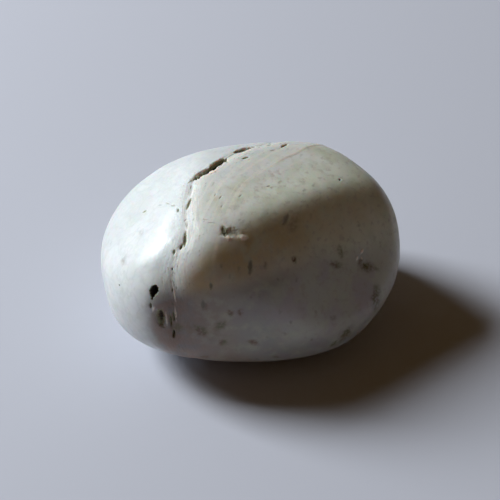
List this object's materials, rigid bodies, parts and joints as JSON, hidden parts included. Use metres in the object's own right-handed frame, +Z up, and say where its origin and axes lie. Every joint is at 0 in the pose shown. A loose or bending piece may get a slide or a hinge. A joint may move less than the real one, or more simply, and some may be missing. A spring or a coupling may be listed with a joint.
{
  "type": "tumbled hemimorphite stone",
  "caption": "Pale tumbled hemimorphite pebble with an open seam of small dark vugs round it, lying on a worn flat.",
  "frame": {"origin": "on the resting surface, under the middle of the stone's bounding box", "axes": "+X along the stone's length, +Y away from the side the picture shows, +Z up"},
  "size_m": [0.0404, 0.0296, 0.0243],
  "materials": {
    "hemimorphite": "tumble-polished, soft gloss, slightly translucent"
  },
  "bodies": {
    "root": {"tumbled_hemimorphite": "hemimorphite"}
  },
  "joints": []
}
